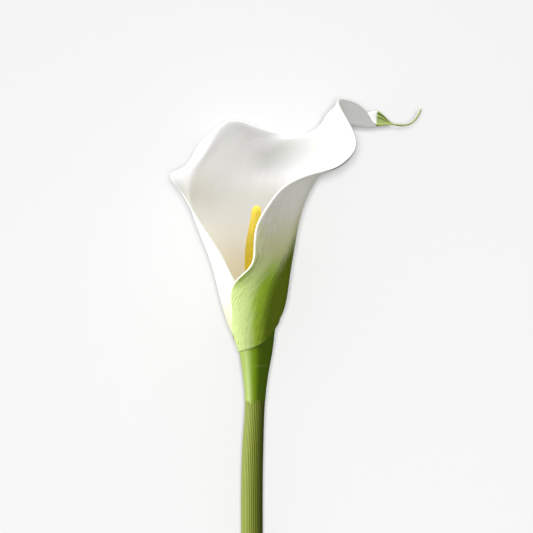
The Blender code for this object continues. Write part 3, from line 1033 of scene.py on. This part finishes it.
    def build(self) -> Object:
        """Make the spathe.

        Returns:
            The finished object.
        """
        points, across, stations = self.surface()
        columns, rows = points.shape[0] - 1, points.shape[1] - 1
        cells = np.linalg.norm(np.diff(points, axis=0), axis=2)
        from_first = np.vstack([np.zeros((1, rows + 1)), np.cumsum(cells, axis=0)])
        to_edge = np.minimum(from_first, from_first[-1] - from_first)
        points = self.roll_margins(points, from_first, stations)
        steps = np.linalg.norm(np.diff(points, axis=1), axis=2)
        along = np.hstack([np.zeros((columns + 1, 1)), np.cumsum(steps, axis=1)])
        points = self.close_foot(points, along)
        limits = read_rows(self.green_limit, across[:, 0])
        inward = np.clip(np.minimum(to_edge, along) / self.edge_round, 0, 1)
        fullness = self.edge_share + (1 - self.edge_share) * np.sqrt(1 - (1 - inward) ** 2)
        fullness *= 1 - self.thinning * within(self.thinned, stations)
        sink = self.thickness / 2 * (1 - fullness) * smoothstep(*self.flush, stations)
        points = points - self.outward(points) * sink[..., None]
        mesh = bmesh.new()
        bmesh.ops.create_grid(mesh, x_segments=columns, y_segments=rows, size=1.0)
        place_points(mesh, points.transpose(1, 0, 2).reshape(-1, 3), {
            "across": across.T.ravel(), "station": stations.T.ravel(), "along": along.T.ravel(),
            "height": points[..., 1].T.ravel(), "green": (limits - points[..., 1]).T.ravel(),
            "edge": to_edge.T.ravel()})
        deform = mesh.verts.layers.deform.verify()
        for vert, share in zip(mesh.verts, fullness.T.ravel()):
            vert[deform][0] = share
        self.narrow(mesh, from_first[-1], columns)
        obj = self.stand(mesh, [WrapFinish(), ThroatFinish(), RimFinish()])
        obj.vertex_groups.new(name="fullness")
        shell = obj.modifiers.new("shell", "SOLIDIFY")
        shell.thickness = self.thickness * MM
        shell.offset = 0.0
        shell.vertex_group = "fullness"
        shell.thickness_vertex_group = 0.0
        shell.material_offset = 1
        shell.material_offset_rim = 2
        self.settle(obj)
        return self.finish(obj)


@dataclass(frozen=True)
class SoftBox:
    """A square soft light that faces the bloom from a place in upright millimetres."""

    name: str
    place: tuple
    size: float
    power: float


@dataclass
class Studio:
    """The pale floor, the soft lights and the camera that looks down on the flower."""

    pose: Matrix
    floor_size: float = 4.0
    floor_colour: Colour = (0.42, 0.42, 0.42)
    view_centre: tuple = (7.98, 45.925)
    view_height: float = 293.15
    view_distance: float = 1300.0
    sensor: float = 36.0
    flower_boxes: tuple[SoftBox, ...] = (
        SoftBox("side_box", (-1220.0, 46.0, 380.0), size=0.8, power=22.0),
        SoftBox("top_box", (8.0, 1320.0, 230.0), size=0.6, power=15.5))
    floor_box: SoftBox = SoftBox("floor_box", (8.0, 46.0, 2600.0), size=0.4, power=124.5)
    sky: Colour = (1.0, 1.0, 1.0)
    sky_strength: float = 0.42

    def floor(self) -> Object:
        """Lay the floor that the flower rests on.

        Returns:
            The floor.
        """
        mesh = bmesh.new()
        bmesh.ops.create_grid(mesh, x_segments=1, y_segments=1, size=self.floor_size / 2)
        bmesh.ops.translate(mesh, vec=(0.0, 0.0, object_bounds()[0].z), verts=mesh.verts)
        data = bpy.data.meshes.new("floor")
        mesh.to_mesh(data)
        mesh.free()
        graph = ShaderGraph("floor_paint", roughness=0.9, specular=0.1)
        graph.set(base_color=(*self.floor_colour, 1.0))
        data.materials.append(graph.material)
        obj = add_object("floor", data)
        obj.visible_diffuse = False
        obj.visible_glossy = False
        obj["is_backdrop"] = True
        return obj

    def lamp(self, box: SoftBox, lit: list[Object]) -> None:
        """Hang a soft light that lights only some objects.

        Args:
            box: the light.
            lit: what it lights.
        """
        light = bpy.data.lights.new(box.name, "AREA")
        light.energy = box.power
        light.size = box.size
        lamp = add_object(box.name, light)
        lamp.location = self.pose @ Vector(box.place)
        aim = self.pose @ Vector((*self.view_centre, 0.0)) - lamp.location
        lamp.rotation_euler = aim.to_track_quat("-Z", "Y").to_euler()
        reached = bpy.data.collections.new(f"{box.name}_reach")
        for obj in lit:
            reached.objects.link(obj)
        lamp.light_linking.receiver_collection = reached

    def camera(self) -> None:
        """Look straight at the flower's own upright plane."""
        lens = bpy.data.cameras.new("camera")
        lens.sensor_width = self.sensor
        lens.lens = self.sensor * self.view_distance / self.view_height
        eye = add_object("camera", lens)
        place = self.pose @ Matrix.Translation((*self.view_centre, self.view_distance))
        eye.location = place.to_translation()
        eye.rotation_euler = place.to_euler()
        bpy.context.scene.camera = eye

    def world(self) -> None:
        """Fill the room with even, faint light."""
        world = bpy.data.worlds.new("studio")
        bpy.context.scene.world = world
        world.use_nodes = True
        background = world.node_tree.nodes["Background"]
        background.inputs["Color"].default_value = (*self.sky, 1.0)
        background.inputs["Strength"].default_value = self.sky_strength
        world.cycles_visibility.glossy = False

    def build(self, flower: list[Object]) -> None:
        """Set up the whole studio.

        Args:
            flower: the flower's pieces.
        """
        floor = self.floor()
        for box in self.flower_boxes:
            self.lamp(box, flower)
        self.lamp(self.floor_box, [floor])
        self.camera()
        self.world()
        bpy.context.scene.view_settings.view_transform = "Standard"


def main() -> None:
    """Build the flower and its studio."""
    logging.basicConfig(level=logging.INFO, format="%(message)s")
    pose = LyingPose().matrix()
    draw = np.random.default_rng(SEED)
    flower = [Stem(pose, Part.STEM).build(draw), Spadix(pose, Part.SPADIX).build(draw),
              Spathe(pose, Part.SPATHE).build()]
    Studio(pose).build(flower)


if __name__ == "__main__":
    main()
